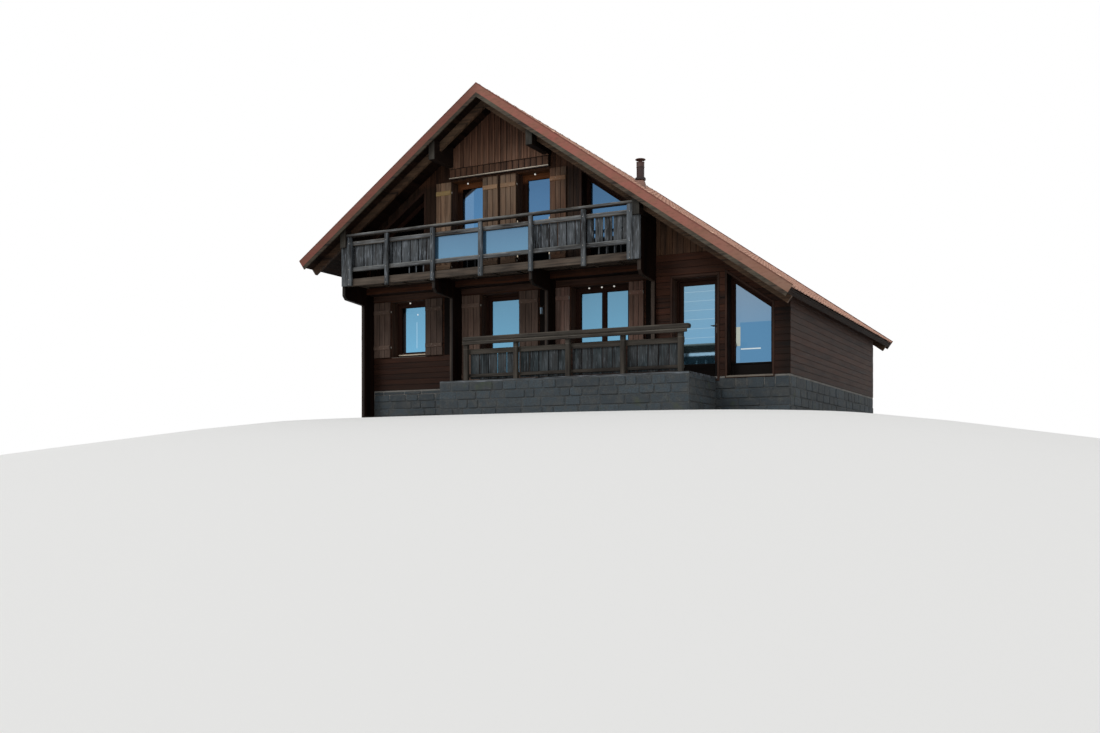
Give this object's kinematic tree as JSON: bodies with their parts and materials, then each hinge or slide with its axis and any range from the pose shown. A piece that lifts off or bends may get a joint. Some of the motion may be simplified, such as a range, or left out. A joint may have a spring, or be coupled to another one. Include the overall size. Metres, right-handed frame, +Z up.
{
  "type": "alpine chalet",
  "caption": "Timber alpine chalet with a catslide roof over a side extension, a gable balcony, a railed terrace, hinged shutters and garden doors that open inwards.",
  "frame": {"origin": "centre of the bounding box at the underside of the foundation", "axes": "+X to the right along the front, +Y into the house, +Z up"},
  "size_m": [12.01, 11.14, 7.4],
  "materials": {
    "masonry": "rough grey stone blocks with mortar joints",
    "concrete": "smooth cast floor",
    "dark_planks": "dark stained level planks with shadow grooves",
    "brown_boards": "brown stained upright boards",
    "roof_timber": "dark aged structural timber",
    "clay_tiles": "orange-red clay tiles, weathered",
    "verge_paint": "red-brown painted verge, faded",
    "grey_timber": "weathered silver-grey timber",
    "joinery": "red-brown stained joinery",
    "shutter_wood": "mid-brown stained shutters",
    "glazing": "clear double glazing with sky-blue reflections",
    "dark_metal": "dark brown painted steel",
    "light_metal": "light metal drip rail"
  },
  "bodies": {
    "house": {"foundation": "masonry", "terrace_base": "masonry", "ground_floor": "concrete", "front_wall_left": "dark_planks", "front_wall_right": "dark_planks", "front_wall_lintel": "dark_planks", "extension_wall_left": "dark_planks", "extension_wall_lintel": "dark_planks", "extension_wall_right": "dark_planks", "left_wall": "dark_planks", "right_wall": "dark_planks", "rear_wall": "dark_planks", "outer_wing_walls": "dark_planks", "inner_wing_walls": "dark_planks", "upper_floor": "brown_boards", "upper_front_wall": "brown_boards", "gable_panel": "brown_boards", "purlins": "roof_timber", "overhang_rafters": "roof_timber", "roof_left": "roof_timber", "roof_right": "roof_timber", "roof_tiles": "clay_tiles", "verge_boards": "verge_paint", "verge_trims": "grey_timber", "balcony_deck": "grey_timber", "balcony_beam": "grey_timber", "balcony_posts": "grey_timber", "balcony_rails": "grey_timber", "balcony_boards": "grey_timber", "terrace_deck": "grey_timber", "terrace_posts": "grey_timber", "terrace_rails": "grey_timber", "terrace_boards": "grey_timber", "upper_doors": "joinery", "gable_windows": "joinery", "front_windows": "joinery", "rear_and_side_windows": "joinery", "door_frames": "joinery", "folding_shutters": "shutter_wood", "upper_glass": "glazing", "ground_glass": "glazing", "balcony_panels": "glazing", "chimney": "dark_metal", "door_hinges": "dark_metal", "shutter_pintles": "dark_metal", "drip_rail": "light_metal"},
    "french_door_leaf": {"french_door": "joinery", "french_door_glass": "glazing"},
    "extension_door_leaf": {"extension_door": "joinery", "extension_door_glass": "glazing"},
    "window_shutter_left_leaf": {"window_shutter_left": "shutter_wood"},
    "window_shutter_right_leaf": {"window_shutter_right": "shutter_wood"},
    "french_shutter_left_leaf": {"french_shutter_left": "shutter_wood"},
    "french_shutter_right_leaf": {"french_shutter_right": "shutter_wood"},
    "upper_shutter_1_leaf": {"upper_shutter_1": "shutter_wood"},
    "upper_shutter_2_leaf": {"upper_shutter_2": "shutter_wood"},
    "upper_shutter_3_leaf": {"upper_shutter_3": "shutter_wood"},
    "upper_shutter_4_leaf": {"upper_shutter_4": "shutter_wood"}
  },
  "joints": [
    {"name": "french_door_hinge", "type": "hinge", "parent": "house", "child": "french_door_leaf", "pos_m": [-1.67, -3.274, 1.8], "axis": [0, 0, 1], "range_deg": [0, 90]},
    {"name": "extension_door_hinge", "type": "hinge", "parent": "house", "child": "extension_door_leaf", "pos_m": [3.21, -3.574, 1.8], "axis": [0, 0, 1], "range_deg": [0, 90]},
    {"name": "window_shutter_left_hinge", "type": "hinge", "parent": "house", "child": "window_shutter_left_leaf", "pos_m": [-4.275, -3.63, 2.3], "axis": [0, 0, 1], "range_deg": [0, 180]},
    {"name": "window_shutter_right_hinge", "type": "hinge", "parent": "house", "child": "window_shutter_right_leaf", "pos_m": [-3.275, -3.63, 2.3], "axis": [0, 0, -1], "range_deg": [0, 180]},
    {"name": "french_shutter_left_hinge", "type": "hinge", "parent": "house", "child": "french_shutter_left_leaf", "pos_m": [-1.725, -3.63, 1.8], "axis": [0, 0, 1], "range_deg": [0, 180]},
    {"name": "french_shutter_right_hinge", "type": "hinge", "parent": "house", "child": "french_shutter_right_leaf", "pos_m": [-0.705, -3.63, 1.8], "axis": [0, 0, -1], "range_deg": [0, 180]},
    {"name": "upper_shutter_1_hinge", "type": "hinge", "parent": "house", "child": "upper_shutter_1_leaf", "pos_m": [-2.335, -3.93, 4.4], "axis": [0, 0, 1], "range_deg": [0, 180]},
    {"name": "upper_shutter_2_hinge", "type": "hinge", "parent": "house", "child": "upper_shutter_2_leaf", "pos_m": [-1.495, -3.93, 4.4], "axis": [0, 0, -1], "range_deg": [0, 180]},
    {"name": "upper_shutter_3_hinge", "type": "hinge", "parent": "house", "child": "upper_shutter_3_leaf", "pos_m": [-0.595, -3.93, 4.4], "axis": [0, 0, 1], "range_deg": [0, 180]},
    {"name": "upper_shutter_4_hinge", "type": "hinge", "parent": "house", "child": "upper_shutter_4_leaf", "pos_m": [0.245, -3.93, 4.4], "axis": [0, 0, -1], "range_deg": [0, 180]}
  ]
}
